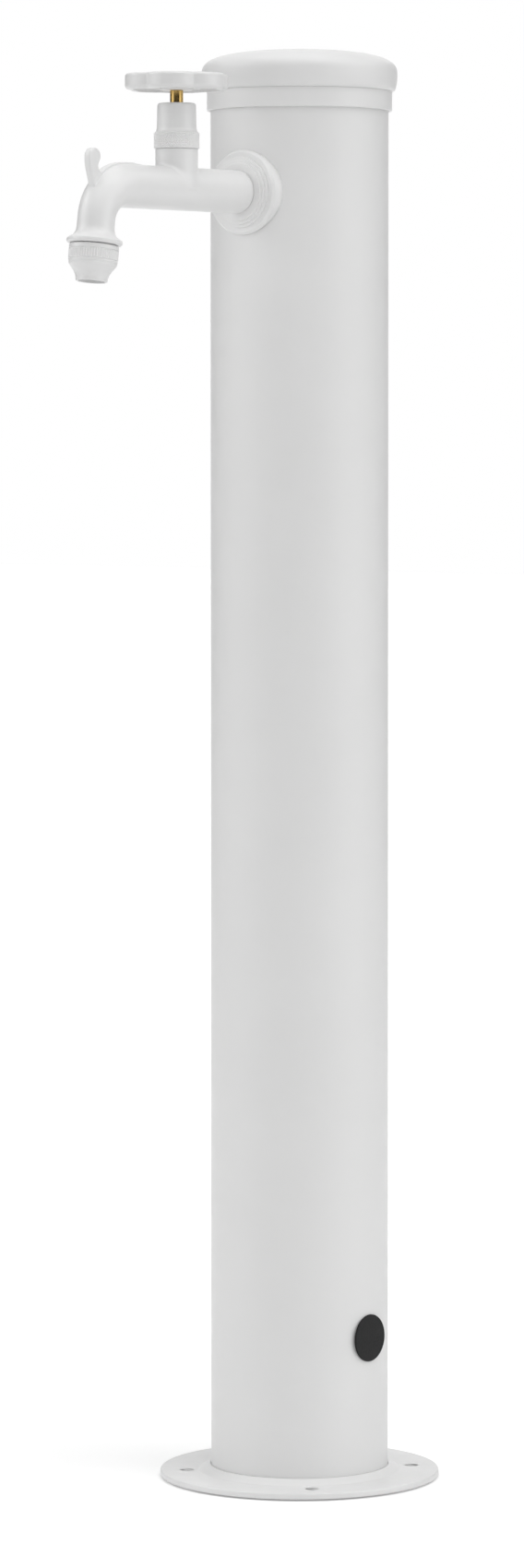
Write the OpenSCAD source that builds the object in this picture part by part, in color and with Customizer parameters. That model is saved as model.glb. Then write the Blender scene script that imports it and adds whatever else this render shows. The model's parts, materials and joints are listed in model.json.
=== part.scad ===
// Garden tap fountain: a round water column on a bolted flange, with one bib tap.
// Millimetres, +Z up. The origin is the centre of the flange's underside.
// The tap points to -Y and the service plug is on the +X side.

/* [Column] */
// Outside diameter of the column tube
column_d = 125; // [116:1:140]
// Wall of the column tube
column_wall = 2; // [1.5:0.1:3]
// Length of the column tube
column_len = 967; // [945:1:1100]

/* [Base flange] */
// How far the flange plate stands out past the column
flange_width = 36; // [29:0.5:50]
// Thickness of the flange plate
flange_t = 4; // [3:0.5:8]
// Rounding of the plate's upper edge
flange_edge = 1; // [0.5:0.1:2]
// Width of the raised shoulder round the foot
shoulder_w = 8.5; // [6:0.1:10]
// Height of the shoulder above the plate
shoulder_h = 3.9; // [3:0.1:7]
// Height of the spigot that centres the tube
spigot_h = 24; // [15:1:40]
// Wall of the spigot
spigot_wall = 4; // [3:0.5:6]
// Diameter of the supply opening in the plate
entry_d = 80; // [70:1:95]
// Distance of the bolt holes' axes from the column's face
bolt_reach = 17.5; // [15:0.5:22]
// Number of bolt holes
bolt_count = 4; // [3:1:8]
// Diameter of a bolt hole
bolt_hole_d = 9; // [7:0.5:12]

/* [Cap collar and cap] */
// Wall of the collar outside the tube
collar_wall = 2.5; // [1.5:0.1:4]
// How far the collar reaches down over the tube
collar_skirt = 8.8; // [5:0.1:15]
// Height of the collar above the tube's end
collar_rim = 5; // [3:0.1:8]
// Width of the ledge that rests on the tube's end
collar_ledge = 5.5; // [4:0.1:8]
// Rounding of the collar's lower edge
collar_edge = 0.9; // [0.4:0.1:1.4]
// How far the domed cap stands out past the column at its widest
cap_overhang = 6.2; // [4.5:0.1:10]
// How far the cap's lower lip stands out past the collar
cap_lip_overhang = 0.8; // [0.3:0.1:1.5]
// Height from the cap's lip to its widest place
cap_flare_h = 11.4; // [8:0.1:16]
// Height from the widest place to the top
cap_dome_h = 17.2; // [12:0.1:24]
// Wall of the cap
cap_wall = 2.5; // [2:0.1:4]
// Depth of the cap's spigot in the collar
cap_spigot_h = 8; // [5:0.5:14]

/* [Side plug] */
// Height of the plug above the ground
plug_z = 102.8; // [70:0.1:160]
// Diameter of the plug's head
plug_head_d = 33; // [30:0.5:38]
// How far the head stands off the column
plug_head_t = 3.6; // [3.4:0.1:5]
// Rounding of the head's edge
plug_edge = 1.3; // [0.6:0.1:1.6]
// Diameter of the plug's shank
plug_shank_d = 26.4; // [22:0.1:27]
// Wall of the hollow shank
plug_wall = 2; // [1.5:0.1:3]
// Length of the shank behind the head
plug_shank_len = 14; // [12:0.5:20]

/* [Rosette] */
// Diameter of the rosette's base disc
rosette_d = 59; // [56:0.5:66]
// Thickness of the base disc where it meets the column's face
rosette_t = 2.9; // [2.5:0.1:5]
// Bevel of the base disc
rosette_bevel = 1.6; // [1:0.1:2.4]
// Outside diameter of the first raised ring
rosette_ring_d = 49; // [46:0.5:52]
// How much smaller each further ring is
rosette_ring_step = 4.5; // [3:0.1:5]
// Height of each raised ring
rosette_ring_h = 1.1; // [1:0.05:2.5]

/* [Tap body] */
// Distance of the tap's axis below the top of the column tube
tap_drop = 67.5; // [58:0.5:140]
// Diameter of the tap's barrel
barrel_d = 29.7; // [28:0.1:31]
// Diameter of the threaded tail
tail_d = 26.4; // [25.5:0.1:26.6]
// Distance from the column's face to the valve stem
stem_reach = 71.7; // [66:0.1:80]
// Distance from the column's face to the centre of the bend
bend_reach = 129; // [124:0.5:145]
// Radius of the bend's centre line
bend_r = 27; // [24:0.5:34]
// Diameter of the bend, between the barrel's and the spout's
bend_d = 27.8; // [26.6:0.1:29]
// Length over which the barrel narrows to the bend
barrel_taper = 22; // [12:1:30]
// Lean of the outlet away from upright, in degrees
outlet_tilt = 7; // [0:1:12]
// Diameter of the spout below the bend
spout_d = 25.6; // [25:0.1:27]
// Length of the plain spout below the bend
spout_len = 6.5; // [4:0.1:12]
// Diameter of the drip skirt
skirt_d = 37.9; // [36:0.1:42]
// Height over which the spout flares out to the skirt
skirt_flare_h = 7; // [5:0.1:12]
// Thickness of the skirt's edge
skirt_edge = 3.2; // [2:0.1:4]
// Diameter of the neck that carries the headwork
neck_d = 29.1; // [28.4:0.1:30]
// Height of the neck above the tap's axis
neck_h = 27.2; // [25.5:0.1:32]

/* [Hook] */
// Thickness of the rib and the hook lug
hook_t = 5.6; // [4:0.1:7]
// How far the rib stands off the bend
rib_h = 2; // [1:0.1:3]
// Height of the lug's tip above the tap's axis
hook_h = 24.8; // [22:0.1:30]
// Width of the lug along the tap
hook_w = 10; // [8:0.1:11]
// Distance of the lug's tip from the bend's centre, along the tap
hook_reach = 31.2; // [29:0.1:33]

/* [Water way] */
// Bore of the tail
tail_bore_d = 18; // [15:0.1:19]
// Bore of the passage from the tail to the seat
inlet_bore_d = 11; // [9:0.1:12]
// Bore of the valve seat
seat_bore_d = 11; // [9.5:0.1:12]
// Diameter of the valve chamber
chamber_d = 19.2; // [18.8:0.1:20]
// Height of the valve seat above the tap's axis
seat_rise = 2.5; // [1.5:0.1:3]
// Thickness of the metal round the seat, between the passages
seat_web = 3.5; // [3:0.1:4.5]
// Bore of the duct out of the valve chamber
duct_bore_d = 9; // [7:0.1:9.4]
// Bore of the spout
spout_bore_d = 20; // [16:0.1:20.4]

/* [Valve] */
// Rise of the valve from shut to open
valve_lift = 5; // [4:0.1:6]
// Diameter of the spindle's thread
thread_d = 12; // [11:0.1:13]
// Length of the spindle's thread
thread_len = 18; // [16:0.1:19]
// Diameter of the spindle above its thread
spindle_d = 9; // [8:0.1:10]
// Diameter of the jumper disc
jumper_d = 16.4; // [15:0.1:17]
// Thickness of the jumper disc
jumper_t = 2.5; // [2:0.1:3]
// Diameter of the jumper's stem
jumper_stem_d = 6; // [5:0.1:7]
// Length of the jumper's stem
jumper_stem_len = 9; // [7:0.1:11]
// Thickness of the rubber seal
seal_t = 3; // [2.5:0.1:3.5]
// Diameter of the headwork's flange
headwork_flange_d = 23.8; // [23:0.1:24.4]
// Height of the headwork's flange
headwork_flange_h = 6; // [5:0.1:8]
// Diameter of the headwork's upper barrel
headwork_barrel_d = 19; // [18:0.1:20]
// Wall above the spindle's thread in the headwork
headwork_web = 6; // [5:0.1:7]
// Depth of the gland's packing
packing_h = 4; // [3:0.1:4.5]

/* [Bonnet cover] */
// Diameter of the cover's knurled hand ring
ring_d = 31.3; // [30.4:0.1:34]
// Height of the hand ring
ring_h = 10.9; // [8:0.1:13]
// Height of the flare between ring and barrel
flare_h = 3.4; // [2:0.1:5]
// Diameter of the cover's barrel at its foot
cover_d = 27; // [26.4:0.1:28]
// Diameter of the cover's barrel at its top
cover_top_d = 26.4; // [25.6:0.1:27.4]
// Height of the whole cover
cover_h = 31.1; // [29.5:0.1:36]
// Thickness of the cover's top
cover_top_t = 2; // [1.5:0.1:2.4]
// Rounding of the cover's top edge
cover_edge = 1.5; // [0.6:0.1:1.8]

/* [Handwheel] */
// Diameter of the wheel over its lobes
wheel_d = 72.8; // [66:0.1:80]
// Number of lobes
wheel_lobes = 6; // [5:1:8]
// Radius of a lobe
lobe_r = 20.4; // [17:0.1:22]
// Height of the wheel's rim
wheel_h = 11; // [9:0.1:14]
// Rounding of the wheel's edges
wheel_edge = 3; // [1.5:0.1:4]
// Wall of the rim round the hollow underside
wheel_wall = 5.4; // [4.2:0.1:7]
// Depth of the hollow underside
wheel_hollow = 3; // [2:0.1:4.5]
// Diameter of the hub
hub_d = 19; // [16:0.1:22]
// Gap between the cover and the wheel's hub when the valve is shut
wheel_gap = 8.7; // [6:0.1:14]
// Turn of the wheel at rest from the tap's direction, in degrees
wheel_angle = 31; // [0:1:60]
// Width of the square end of the spindle
square_w = 6; // [5:0.1:6.2]
// Diameter of the screw head's recess
screw_recess_d = 13; // [12:0.1:15]
// Depth of the screw head's recess
screw_recess_h = 4; // [3.8:0.1:5]

/* [Outlet nozzle] */
// Diameter of the knurled band
nozzle_d = 33.7; // [32.4:0.1:35]
// Height of the nozzle's top lip and knurled band
nozzle_band_h = 9.1; // [7:0.1:11]
// Diameter at the foot of the plain band
nozzle_foot_d = 32; // [31.6:0.1:33]
// Height of the plain band
nozzle_plain_h = 4.1; // [3:0.1:6]
// Height of the concave cone
nozzle_cone_h = 9; // [7:0.1:12]
// Diameter of the nose
nozzle_nose_d = 21.5; // [20.8:0.1:23]
// Length of the nose
nozzle_nose_len = 2.6; // [2:0.1:5]
// Bore of the nose
nozzle_bore_d = 18.4; // [16:0.1:18.6]
// Length of the threaded spigot inside the nozzle
outlet_thread_len = 10.1; // [8:0.1:11]
// Gap between the drip skirt and the nozzle's lip
nozzle_gap = 0.4; // [0.3:0.1:3]

/* [Supply line] */
// Outside diameter of the riser pipe
riser_d = 22; // [18:0.5:23]
// Wall of the riser pipe
riser_wall = 1; // [1:0.1:2]
// Height of the inlet fitting's open end above the ground
inlet_z = 34; // [32:1:60]
// Bore of the inlet fitting's thread
inlet_thread_d = 24.1; // [20:0.1:25]
// Length of the inlet fitting
inlet_len = 30; // [26:1:40]
// Radius of the elbow's centre line
elbow_r = 18; // [16:0.5:22]
// Outside diameter of the elbow
elbow_d = 27; // [26.5:0.5:29]
// Bore of the elbow and the fittings
fitting_bore_d = 16; // [13:0.5:17]
// Depth of a pipe socket
socket_depth = 12; // [10:0.5:15]
// Width across the flats of the pipe nuts
pipe_nut_af = 30; // [28:1:34]
// Height of a pipe nut
pipe_nut_h = 12; // [9:0.5:15]
// Width across the flats of the lock nut
lock_nut_af = 36; // [34:1:40]
// Height of the lock nut
lock_nut_h = 6; // [5:0.5:9]
// Diameter of the saddle washer
saddle_d = 38; // [36:1:44]
// Thickness of the saddle washer at its middle
saddle_t = 5; // [4.6:0.1:7]

/* [Fits] */
// Gap between pieces that are slipped together and don't move
slip_gap = 0.2; // [0.1:0.05:0.4]
// Gap between a screwed piece and its thread
thread_gap = 0.05; // [0.03:0.01:0.1]
// Radial gap of the spindle and the jumper's stem, which run in their bores
running_gap = 0.05; // [0.03:0.01:0.08]
// Gap between the seal and the valve seat when shut
seat_gap = 0.2; // [0.1:0.05:0.4]
// Thickness of a flat gasket
gasket_t = 1; // [0.8:0.1:1.5]
// Overrun of a cut past the face that it opens
cut = 1; // [0.5:0.1:2]

/* [Hidden] */

// Smoothness of round solids, and steps of a curved outline
round_fn = 96;
curve_steps = 12;
dome_steps = 20;
lobe_steps = 12;

// Column
column_r = column_d / 2;
column_in_r = column_r - column_wall;
column_top_z = flange_t + column_len;

// Base flange
flange_r = column_r + flange_width;
bolt_circle_r = column_r + bolt_reach;

// Shape of the dome: how square its shoulder is and how flat its crown is
shoulder_power = 3;
crown_power = 2.6;
cap_r = column_r + cap_overhang;
cap_lip_r = column_r + collar_wall + cap_lip_overhang;
cap_seat_z = column_top_z + collar_rim;
cap_wide_z = cap_seat_z + cap_flare_h;
collar_bore_r = column_r - collar_ledge + column_wall;
cap_spigot_r = collar_bore_r - slip_gap;

// Rosette: the tap's barrel starts on its last ring
rosette_rings = 3;
barrel_start = column_r + rosette_t + rosette_rings * rosette_ring_h;

// Tap
tap_z = column_top_z - tap_drop;
barrel_r = barrel_d / 2;
bend_tube_r = bend_d / 2;
tail_r = tail_d / 2;
tail_hole_r = tail_r + slip_gap;
stem_y = column_r + stem_reach;
bend_y = column_r + bend_reach;
bend_z = tap_z - bend_r;
bend_angle = 90 - outlet_tilt;
outlet_y = bend_y + bend_r * cos(outlet_tilt);
outlet_z = bend_z + bend_r * sin(outlet_tilt);
skirt_s = spout_len + skirt_flare_h + skirt_edge;
nozzle_s = skirt_s + nozzle_gap;
outlet_end_s = nozzle_s + outlet_thread_len;

// Water way
tail_bore_r = tail_bore_d / 2;
inlet_bore_r = inlet_bore_d / 2;
seat_bore_r = seat_bore_d / 2;
chamber_r = chamber_d / 2;
duct_bore_r = duct_bore_d / 2;
spout_bore_r = spout_bore_d / 2;
seat_z = tap_z + seat_rise;
inlet_bore_z = seat_z - seat_web - inlet_bore_r;
duct_z = seat_z + duct_bore_r;
tail_bore_end = stem_y - chamber_r - seat_web;
spout_bore_start = stem_y + chamber_r + seat_web;

// Valve, from the seat up
seal_z = seat_z + seat_gap;
jumper_z = seal_z + seal_t;
jumper_top_z = jumper_z + jumper_t;
spindle_foot_z = jumper_top_z + slip_gap;
headwork_foot_z = jumper_top_z + valve_lift + 2 * slip_gap;
thread_top_z = spindle_foot_z + thread_len;
thread_stop_z = thread_top_z + valve_lift + slip_gap;
neck_top_z = tap_z + neck_h;
headwork_z = neck_top_z + gasket_t;
headwork_flange_r = headwork_flange_d / 2;
headwork_bore_top_z = thread_stop_z + headwork_web;
packing_r = headwork_barrel_d / 2 - column_wall;
gland_head_z = headwork_bore_top_z + packing_h + column_wall;
cover_top_z = neck_top_z + cover_h;
cover_roof_z = cover_top_z - cover_top_t;
cover_in_r = headwork_flange_r + thread_gap;

// Handwheel
hub_z = cover_top_z + wheel_gap;
wheel_top_z = hub_z + wheel_h;
lobe_offset = wheel_d / 2 - lobe_r;
recess_z = wheel_top_z - screw_recess_h;
screw_r = square_w / 3;
screw_head_r = square_w * 0.65;
screw_washer_r = square_w * 0.9;
screw_washer_t = screw_recess_h * 0.2;
screw_head_h = screw_recess_h * 0.7;

// Supply line
riser_r = riser_d / 2;
elbow_od_r = elbow_d / 2;
fitting_bore_r = fitting_bore_d / 2;
lock_nut_y = column_in_r - saddle_t - lock_nut_h;
elbow_socket_y = lock_nut_y - slip_gap;
tail_end_y = elbow_socket_y - socket_depth;
elbow_socket_r = tail_r + collar_wall + column_wall;
elbow_foot_z = tap_z - elbow_r - socket_depth - column_wall;
inlet_top_z = inlet_z + inlet_len;

// Points of an arc about a centre
function arc(centre, r, from, to, steps = curve_steps) = [
    for (i = [0 : steps])
        let (a = from + (to - from) * i / steps)
        centre + r * [cos(a), sin(a)]
];

// Half outline of a disc with rounded edges, from the axis out, between two heights
function round_disc(r, low, high, edge_low, edge_high) = concat(
    [[0, low]],
    arc([r - edge_low, low + edge_low], edge_low, -90, 0, curve_steps / 2),
    arc([r - edge_high, high - edge_high], edge_high, 0, 90, curve_steps / 2),
    [[0, high]]
);

// Outline of the cap's dome from its widest place to the axis
function dome(r, h, z) = [
    for (i = [0 : dome_steps])
        let (t = sin(90 * i / dome_steps))
        [r * pow(max(0, 1 - pow(t, shoulder_power)), 1 / crown_power), z + h * t]
];

// Outline of the cap's side from its lip out to its widest place
function flare(from_r, to_r, z, h) = [
    for (i = [0 : curve_steps])
        let (a = 90 * i / curve_steps)
        [from_r + (to_r - from_r) * sin(a), z + h * (1 - cos(a))]
];

// Things drawn along +Z start at a distance from the column's axis and run along the tap
module along_tap(start, z = tap_z) {
    translate([0, -start, z]) rotate([90, 0, 0]) children();
}

// Outlines drawn as (distance from the axis, height) stand in the tap's upright plane
module in_tap_plane() {
    rotate([90, 0, -90]) children();
}

// Things drawn along +Z stand on the valve stem's axis
module on_stem() {
    translate([0, -stem_y, 0]) children();
}

// Things drawn along +Z run down the outlet from the end of the bend
module down_outlet() {
    translate([0, -outlet_y, outlet_z]) rotate([180 - outlet_tilt, 0, 0]) children();
}

module turned(outline) {
    rotate_extrude($fn = round_fn) polygon(outline);
}

module rod(r, from, to) {
    translate([0, 0, from]) cylinder(r = r, h = to - from, $fn = round_fn);
}

module hex_rod(across_flats, from, to) {
    translate([0, 0, from]) cylinder(r = across_flats / 2 / cos(30), h = to - from, $fn = 6);
}

module ring(outer_r, inner_r, from, to) {
    difference() {
        rod(outer_r, from, to);
        rod(inner_r, from - cut, to + cut);
    }
}

// Part of a torus in the tap's upright plane, about a centre at (distance, height)
module torus_part(centre, r, tube_r, from, angle) {
    in_tap_plane()
        translate(centre) rotate([0, 0, from])
            rotate_extrude(angle = angle, $fn = round_fn)
                translate([r, 0]) circle(r = tube_r, $fn = round_fn);
}

module base_flange() {
    seat_r = column_r + slip_gap;
    shoulder_r = column_r + shoulder_w;
    spigot_r = column_in_r - slip_gap;
    color("whitesmoke") difference() {
        turned(concat(
            [[entry_d / 2, 0], [flange_r, 0]],
            arc([flange_r - flange_edge, flange_t - flange_edge], flange_edge, 0, 90),
            [
                [shoulder_r, flange_t],
                [seat_r + shoulder_w * 0.25, flange_t + shoulder_h],
                [seat_r, flange_t + shoulder_h],
                [seat_r, flange_t],
                [spigot_r, flange_t],
                [spigot_r, flange_t + spigot_h - flange_edge],
                [spigot_r - flange_edge, flange_t + spigot_h],
                [spigot_r - spigot_wall, flange_t + spigot_h],
                [spigot_r - spigot_wall, flange_t],
                [entry_d / 2, flange_t]
            ]
        ));
        for (i = [0 : bolt_count - 1])
            rotate([0, 0, (i + 0.5) * 360 / bolt_count])
                translate([bolt_circle_r, 0, 0])
                    rod(bolt_hole_d / 2, -cut, flange_t + cut);
    }
}

module column_tube() {
    color("whitesmoke") difference() {
        rod(column_r, flange_t, column_top_z);
        rod(column_in_r, flange_t - cut, column_top_z + cut);
        along_tap(0) rod(tail_hole_r, column_in_r - tail_hole_r, column_r + cut);
        translate([0, 0, plug_z]) rotate([0, 90, 0])
            rod(plug_shank_d / 2 + slip_gap, column_in_r - plug_shank_d / 2, column_r + cut);
    }
}

module cap_collar() {
    outer_r = column_r + collar_wall;
    low_z = column_top_z - collar_skirt;
    color("whitesmoke") turned(concat(
        [[column_r + slip_gap, low_z]],
        arc([outer_r - collar_edge, low_z + collar_edge], collar_edge, -90, 0),
        [
            [outer_r, cap_seat_z],
            [collar_bore_r, cap_seat_z],
            [collar_bore_r, column_top_z],
            [column_r + slip_gap, column_top_z]
        ]
    ));
}

module top_cap() {
    inner_r = cap_r - cap_wall;
    inner_low_z = cap_seat_z + cap_wall;
    hollow = dome(inner_r, cap_dome_h - cap_wall, cap_wide_z);
    color("whitesmoke") turned(concat(
        [
            [cap_spigot_r - cap_wall, cap_seat_z - cap_spigot_h],
            [cap_spigot_r, cap_seat_z - cap_spigot_h],
            [cap_spigot_r, cap_seat_z]
        ],
        flare(cap_lip_r, cap_r, cap_seat_z, cap_flare_h),
        [for (p = dome(cap_r, cap_dome_h, cap_wide_z)) if (p[1] > cap_wide_z) p],
        [for (i = [dome_steps : -1 : 0]) hollow[i]],
        [
            [cap_lip_r - cap_wall, inner_low_z],
            [cap_spigot_r - cap_wall, inner_low_z]
        ]
    ));
}

module side_plug() {
    shank_r = plug_shank_d / 2;
    bead_x = column_in_r - plug_shank_len / 2;
    bead_r = shank_r + plug_wall / 2;
    end_x = column_r - plug_shank_len;
    color("#1c1c1c") union() {
        difference() {
            translate([0, 0, plug_z]) rotate([0, 90, 0])
                turned(round_disc(
                    plug_head_d / 2, column_r - plug_head_t, column_r + plug_head_t,
                    plug_edge, plug_edge));
            rod(column_r, plug_z - plug_head_d, plug_z + plug_head_d);
        }
        translate([0, 0, plug_z]) rotate([0, 90, 0]) turned([
            [0, column_r - plug_wall],
            [shank_r - plug_wall, column_r - plug_wall],
            [shank_r - plug_wall, end_x],
            [shank_r, end_x],
            [shank_r, bead_x - plug_wall],
            [bead_r, bead_x - plug_wall / 2],
            [shank_r, bead_x],
            [shank_r, column_r + plug_head_t / 2],
            [0, column_r + plug_head_t / 2]
        ]);
    }
}

module wall_rosette() {
    disc_r = rosette_d / 2;
    back = sqrt(pow(column_r, 2) - pow(disc_r, 2));
    face = column_r + rosette_t;
    steps = [
        for (i = [0 : rosette_rings - 1])
            for (up = [0, 1])
                [(rosette_ring_d - i * rosette_ring_step) / 2, face + (i + up) * rosette_ring_h]
    ];
    color("whitesmoke") difference() {
        along_tap(0) turned(concat(
            [
                [tail_hole_r, back],
                [disc_r, back],
                [disc_r, face - rosette_bevel],
                [disc_r - rosette_bevel, face]
            ],
            steps,
            [[tail_hole_r, barrel_start]]
        ));
        rod(column_r, tap_z - rosette_d, tap_z + rosette_d);
    }
}

// Low rib on the back of the bend and the lug that a bucket hangs from
module hook_lug() {
    middle = [bend_y, bend_z];
    rib_r = bend_r + bend_tube_r + rib_h;
    high = bend_r + hook_h;
    // Places on the lug, as shares of its width from the tip's middle and of its height
    outer_shares = [[0.51, 0.84], [0.28, 0.65], [0.03, 0.49], [-0.42, 0.46]];
    inner_shares = [[-0.92, 0.58], [-0.72, 0.685], [-0.47, 0.724], [-0.3, 0.77], [-0.28, 0.82]];
    in_tap_plane() linear_extrude(hook_t, center = true) {
        polygon(concat(
            [
                [bend_y - barrel_taper, tap_z],
                [bend_y - barrel_taper, tap_z + barrel_r - rib_h / 4],
                [bend_y - barrel_taper * 0.4, bend_z + rib_r]
            ],
            arc(middle, rib_r, 90, 45),
            arc(middle, bend_r, 45, 90)
        ));
        polygon(concat(
            arc(middle + [hook_reach, high - hook_w / 2], hook_w / 2, 185, 0),
            [for (p = outer_shares) middle + [hook_reach + p[0] * hook_w, p[1] * high]],
            [for (p = inner_shares) middle + [hook_reach + p[0] * hook_w, p[1] * high]]
        ));
    }
}

// Inside of the tap: inlet, seat, chamber, duct and spout
module water_way() {
    along_tap(0) rod(tail_bore_r, tail_end_y - cut, tail_bore_end);
    along_tap(0, inlet_bore_z) rod(inlet_bore_r, tail_bore_end - cut, stem_y + seat_bore_r);
    on_stem() {
        rod(seat_bore_r, inlet_bore_z, seat_z + cut);
        rod(chamber_r, seat_z, neck_top_z + cut);
    }
    along_tap(0, duct_z) rod(duct_bore_r, stem_y, spout_bore_start + cut);
    along_tap(0) {
        rod(spout_bore_r, spout_bore_start, bend_y);
        rod(spout_bore_r - cut, bend_y - cut, bend_y + cut);
    }
    torus_part([bend_y, bend_z], bend_r, spout_bore_r, outlet_tilt, bend_angle);
    down_outlet() {
        rod(spout_bore_r - cut, -cut, cut);
        rod(spout_bore_r, 0, outlet_end_s + cut);
    }
}

module tap_body() {
    skirt_r = skirt_d / 2;
    color("whitesmoke") difference() {
        union() {
            along_tap(0) rod(tail_r, tail_end_y, barrel_start + cut);
            along_tap(0) turned(concat(
                [[0, barrel_start]],
                arc([barrel_r - flange_edge, barrel_start + flange_edge], flange_edge, -90, 0),
                [[barrel_r, bend_y - barrel_taper], [bend_tube_r, bend_y], [0, bend_y]]
            ));
            torus_part([bend_y, bend_z], bend_r, bend_tube_r, outlet_tilt, bend_angle);
            // Short cores join the bend to the barrel and to the spout
            along_tap(0) rod(bend_tube_r - cut, bend_y - cut, bend_y + cut);
            down_outlet() rod(bend_tube_r - cut, -cut, cut);
            on_stem() rod(neck_d / 2, tap_z, neck_top_z);
            down_outlet() turned(concat(
                [[0, 0], [bend_tube_r, 0], [spout_d / 2, spout_len]],
                arc([skirt_r - skirt_edge / 2, spout_len + skirt_flare_h + skirt_edge / 2],
                    skirt_edge / 2, -60, 90),
                [[0, skirt_s]]
            ));
            down_outlet() rod(tail_r, skirt_s - cut, outlet_end_s);
            hook_lug();
        }
        water_way();
    }
}

module saddle_washer() {
    color("silver") intersection() {
        along_tap(0) ring(saddle_d / 2, tail_hole_r, column_in_r - saddle_t, column_in_r + cut);
        rod(column_in_r, tap_z - saddle_d, tap_z + saddle_d);
    }
}

module lock_nut() {
    color("silver") along_tap(0) difference() {
        hex_rod(lock_nut_af, lock_nut_y, lock_nut_y + lock_nut_h);
        rod(tail_r + thread_gap, lock_nut_y - cut, lock_nut_y + lock_nut_h + cut);
    }
}

module elbow_fitting() {
    turn = [elbow_r, tap_z - elbow_r];
    color("goldenrod") difference() {
        union() {
            along_tap(0) rod(elbow_od_r, elbow_r, elbow_socket_y);
            along_tap(0) rod(elbow_socket_r, tail_end_y - column_wall, elbow_socket_y);
            torus_part(turn, elbow_r, elbow_od_r, 90, 90);
            rod(elbow_od_r, elbow_foot_z, tap_z - elbow_r);
        }
        along_tap(0) {
            rod(fitting_bore_r, elbow_r, elbow_socket_y + cut);
            rod(tail_r + thread_gap, tail_end_y - gasket_t, elbow_socket_y + cut);
        }
        torus_part(turn, elbow_r, fitting_bore_r, 90, 90);
        rod(fitting_bore_r, elbow_foot_z - cut, tap_z - elbow_r);
        rod(riser_r + thread_gap, elbow_foot_z - cut, elbow_foot_z + socket_depth);
    }
}

module elbow_gasket() {
    color("dimgray") along_tap(0)
        ring(tail_r - slip_gap, fitting_bore_r, tail_end_y - gasket_t, tail_end_y);
}

module riser_pipe() {
    color("silver")
        ring(riser_r, riser_r - riser_wall, inlet_top_z - socket_depth,
            elbow_foot_z + socket_depth);
}

module riser_nuts() {
    color("goldenrod") difference() {
        union() {
            hex_rod(pipe_nut_af, elbow_foot_z - pipe_nut_h, elbow_foot_z);
            hex_rod(pipe_nut_af, inlet_top_z, inlet_top_z + pipe_nut_h);
        }
        rod(riser_r + thread_gap, inlet_z, elbow_foot_z + cut);
    }
}

module inlet_fitting() {
    outer_r = elbow_socket_r;
    hex_z = inlet_z + socket_depth;
    color("goldenrod") difference() {
        union() {
            rod(outer_r, inlet_z, inlet_z + socket_depth);
            hex_rod(2 * outer_r, hex_z, hex_z + socket_depth / 2);
            rod(elbow_od_r, hex_z, inlet_top_z);
        }
        rod(fitting_bore_r, inlet_z - cut, inlet_top_z + cut);
        rod(inlet_thread_d / 2, inlet_z - cut, inlet_z + socket_depth);
        rod(riser_r + thread_gap, inlet_top_z - socket_depth, inlet_top_z + cut);
    }
}

module headwork() {
    color("gold") on_stem() difference() {
        union() {
            rod(chamber_r - thread_gap, headwork_foot_z, headwork_z);
            rod(headwork_flange_r, headwork_z, headwork_z + headwork_flange_h);
            rod(headwork_barrel_d / 2, headwork_z, gland_head_z);
        }
        rod(thread_d / 2 + running_gap, headwork_foot_z - cut, thread_stop_z);
        rod(spindle_d / 2 + running_gap, thread_stop_z - cut, gland_head_z + cut);
        rod(packing_r, headwork_bore_top_z, gland_head_z + cut);
    }
}

module headwork_gasket() {
    color("dimgray") on_stem()
        ring(headwork_flange_r - slip_gap, chamber_r, neck_top_z, headwork_z);
}

module gland_packing() {
    color("ivory") on_stem()
        ring(packing_r - thread_gap, spindle_d / 2 + running_gap,
            headwork_bore_top_z, headwork_bore_top_z + packing_h);
}

module gland_nut() {
    color("gold") on_stem() difference() {
        union() {
            rod(packing_r - thread_gap, headwork_bore_top_z + packing_h, gland_head_z);
            hex_rod(headwork_barrel_d - column_wall, gland_head_z, cover_roof_z - slip_gap);
        }
        rod(spindle_d / 2 + running_gap, headwork_bore_top_z, cover_top_z);
    }
}

module valve_jumper() {
    color("gold") on_stem() {
        rod(jumper_d / 2, jumper_z, jumper_top_z);
        rod(jumper_stem_d / 2, jumper_z, jumper_top_z + jumper_stem_len);
        rod(jumper_stem_d / 3, seal_z - seal_t / 2, jumper_z);
    }
}

module valve_washer() {
    color("#222222") on_stem()
        ring(jumper_d / 2 - slip_gap, jumper_stem_d / 3, seal_z, jumper_z);
}

module washer_nut() {
    color("gold") on_stem() difference() {
        hex_rod(jumper_stem_d, seal_z - seal_t / 2, seal_z);
        rod(jumper_stem_d / 3, seal_z - seal_t, seal_z + cut);
    }
}

module spindle() {
    socket_top_z = jumper_top_z + jumper_stem_len + slip_gap;
    square_top_z = recess_z - slip_gap;
    color("gold") on_stem() difference() {
        union() {
            rod(thread_d / 2, spindle_foot_z, thread_top_z);
            rod(spindle_d / 2, thread_top_z, hub_z);
            translate([0, 0, thread_top_z]) rotate([0, 0, wheel_angle])
                linear_extrude(square_top_z - thread_top_z) square(square_w, center = true);
        }
        rod(jumper_stem_d / 2 + running_gap, spindle_foot_z - cut, socket_top_z);
        rod(screw_r, hub_z - wheel_h / 2, square_top_z + cut);
    }
}

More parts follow.
